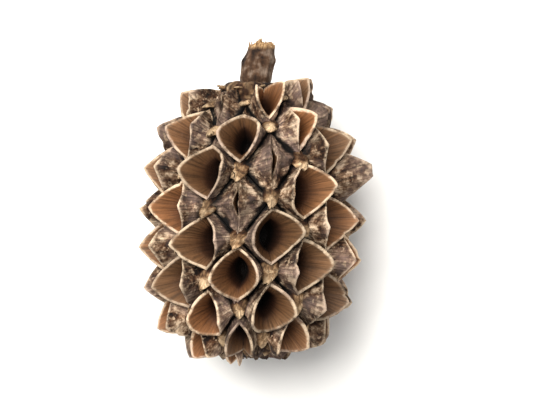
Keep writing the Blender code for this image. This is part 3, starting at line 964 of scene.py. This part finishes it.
splinters = [stem]
for n in range(SPLINTERS):
    turn_at = math.tau * (n + draw.uniform(-0.3, 0.3)) / SPLINTERS
    off = draw.uniform(0.3, 0.85)
    bpy.ops.object.select_all(action="DESELECT")
    bpy.ops.mesh.primitive_circle_add(vertices=6, radius=1.0, fill_type="NGON")
    splinter = bpy.context.object
    bpy.ops.object.mode_set(mode="EDIT")
    for _ in range(SPLINTER_RINGS):
        bpy.ops.mesh.extrude_region_move(TRANSFORM_OT_translate={"value": (0.0, 0.0, 1.0)})
    bpy.ops.mesh.select_all(action="SELECT")
    bpy.ops.mesh.normals_make_consistent(inside=False)
    bpy.ops.object.mode_set(mode="OBJECT")
    local = mesh_points(splinter.data)
    rise = local[:, 2] / SPLINTER_RINGS
    reach_end = draw.uniform(0.0, SPLINTER_REACH) * draw.uniform(0.2, 1.0)
    reach_end += SPLINTER_SIDE_REACH * math.cos(turn_at - TORN_SIDE)
    thick = draw.uniform(*SPLINTER_WIDTHS) * (1.0 - SPLINTER_TAPER * rise)
    flare = off * STALK_RADIUS * (1.0 + draw.uniform(0.0, 0.22) * rise**2)
    place = SPLINTER_FOOT + (1.0 - SPLINTER_FOOT + reach_end) * rise
    middle = stalk_points(place, np.full_like(rise, turn_at), flare)
    across = (local[:, 0] * thick, 0.0 * rise, local[:, 1] * thick * SPLINTER_FLATNESS)
    points = middle + np.stack(across, axis=-1)
    write_points(splinter.data, points + CONE_MIDDLE)
    grain = np.stack((local[:, 0], local[:, 1] + n, 2.0 * rise), axis=-1)
    write_attribute(splinter.data, "grain", "FLOAT_VECTOR", grain)
    write_attribute(splinter.data, "level", "FLOAT", 0.75 + 0.25 * rise)
    splinters.append(splinter)
stalk = join(splinters, "stalk_stem")

# Bark of a dry twig: dark brown with grey ribs, and tan torn wood at the end
BARK_SPOTS_PER_METRE = 1400.0  # 0.7 mm apart
bark, tree, shader = new_material("dry_twig_bark")
level = add_node(tree, "ShaderNodeAttribute", attribute_name="level", out="Fac")
grain = add_node(tree, "ShaderNodeAttribute", attribute_name="grain", out="Vector")
place = add_node(tree, "ShaderNodeTexCoord", out="Object")
fibres = add_node(tree, "ShaderNodeTexNoise", {"Vector": grain, "Scale": 1.0, "Detail": 5.0})
mottle = add_node(
    tree, "ShaderNodeTexNoise", {"Vector": place, "Scale": BARK_SPOTS_PER_METRE, "Detail": 5.0}
)
colour = add_node(tree, "ShaderNodeValToRGB", {"Fac": mottle}, stops=(
    (0.35, "#20140d"), (0.5, "#4a3424"), (0.7, "#7d6b5c"),
))
wood_end = add_node(tree, "ShaderNodeValToRGB", {"Fac": fibres}, stops=(
    (0.3, "#6a4526"), (0.7, "#c9a577"),
))
colour = add_node(
    tree, "ShaderNodeMix", {"Factor": level, 6: colour, 7: wood_end}, data_type="RGBA", out=2
)
shade = add_node(
    tree, "ShaderNodeMapRange",
    {"Value": fibres, "From Min": 0.3, "From Max": 0.7, "To Min": 0.55, "To Max": 1.25},
)
colour = add_node(
    tree, "ShaderNodeMix",
    {"Factor": 1.0, 6: colour, 7: shade},
    data_type="RGBA", blend_type="MULTIPLY", out=2,
)
tree.links.new(colour, shader.inputs["Base Color"])
shader.inputs["Roughness"].default_value = 0.85
shader.inputs["Specular IOR Level"].default_value = 0.2
relief = add_node(tree, "ShaderNodeMath", {0: fibres, 1: mottle}, operation="ADD")
bump = add_node(tree, "ShaderNodeBump", {"Height": relief, "Strength": 0.9, "Distance": 0.09 * MM})
tree.links.new(bump, shader.inputs["Normal"])
stalk.data.materials.append(bark)
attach(stalk, "root")
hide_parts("stalk")

# The floor
# A plain white board under the cone, large enough to fill the view.

FLOOR_HALF = 0.4
bpy.ops.object.select_all(action="DESELECT")
bpy.ops.mesh.primitive_plane_add(size=2.0 * FLOOR_HALF)
floor = bpy.context.object
floor.name = "floor"
board, tree, shader = new_material("white_board")
shader.inputs["Base Color"].default_value = linear("#f4f3f0")
shader.inputs["Roughness"].default_value = 0.9
floor.data.materials.append(board)
floor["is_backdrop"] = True

# The lights
# A large soft lamp above the stalk's end, a weaker one above the tip on the right, and an even pale
# surround, as in a light tent.

TARGET = Vector((0.0, 0.2 * MM, 6.0 * MM))
SURROUND_STRENGTH = 0.18


def soft_lamp(name, place, width, power, colour):
    light = bpy.data.lights.new(name, "AREA")
    light.size = width
    light.energy = power
    light.color = colour
    lamp = bpy.data.objects.new(name, light)
    bpy.context.scene.collection.objects.link(lamp)
    lamp.location = place
    lamp.rotation_euler = (TARGET - lamp.location).to_track_quat("-Z", "Y").to_euler()


soft_lamp("key_lamp", Vector((-0.06, 0.13, 0.36)), 0.3, 3.3, (1.0, 0.985, 0.96))
soft_lamp("fill_lamp", Vector((0.16, -0.1, 0.36)), 0.4, 0.6, (0.97, 0.985, 1.0))
world = bpy.data.worlds.new("pale_surround")
bpy.context.scene.world = world
world.use_nodes = True
world.node_tree.nodes["Background"].inputs["Color"].default_value = (1.0, 1.0, 1.0, 1.0)
world.node_tree.nodes["Background"].inputs["Strength"].default_value = SURROUND_STRENGTH
bpy.context.scene.view_settings.view_transform = "Standard"

# The camera
# It looks down on the cone through a long lens, from a little to the right of straight above, with the
# stalk at the top of the view.

CAMERA_DISTANCE = 420.0 * MM
CAMERA_SIDE_TILT = math.radians(9.0)
CAMERA_ROLL = math.radians(1.3)
CAMERA_LENS = 390.0  # in millimetres, for a sensor 36 mm wide
camera_data = bpy.data.cameras.new("camera")
camera_data.lens = CAMERA_LENS
camera_data.sensor_width = 36.0
camera = bpy.data.objects.new("camera", camera_data)
bpy.context.scene.collection.objects.link(camera)
direction = Vector((math.tan(CAMERA_SIDE_TILT), 0.0, 1.0)).normalized()
up = Vector((0.0, 1.0, 0.0))
right = up.cross(direction).normalized()
up = direction.cross(right)
turned = Matrix.Rotation(CAMERA_ROLL, 3, direction)
right, up = turned @ right, turned @ up
pose = Matrix((right, up, direction)).transposed().to_4x4()
pose.translation = TARGET + direction * CAMERA_DISTANCE
camera.matrix_world = pose
bpy.context.scene.camera = camera

low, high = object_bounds()
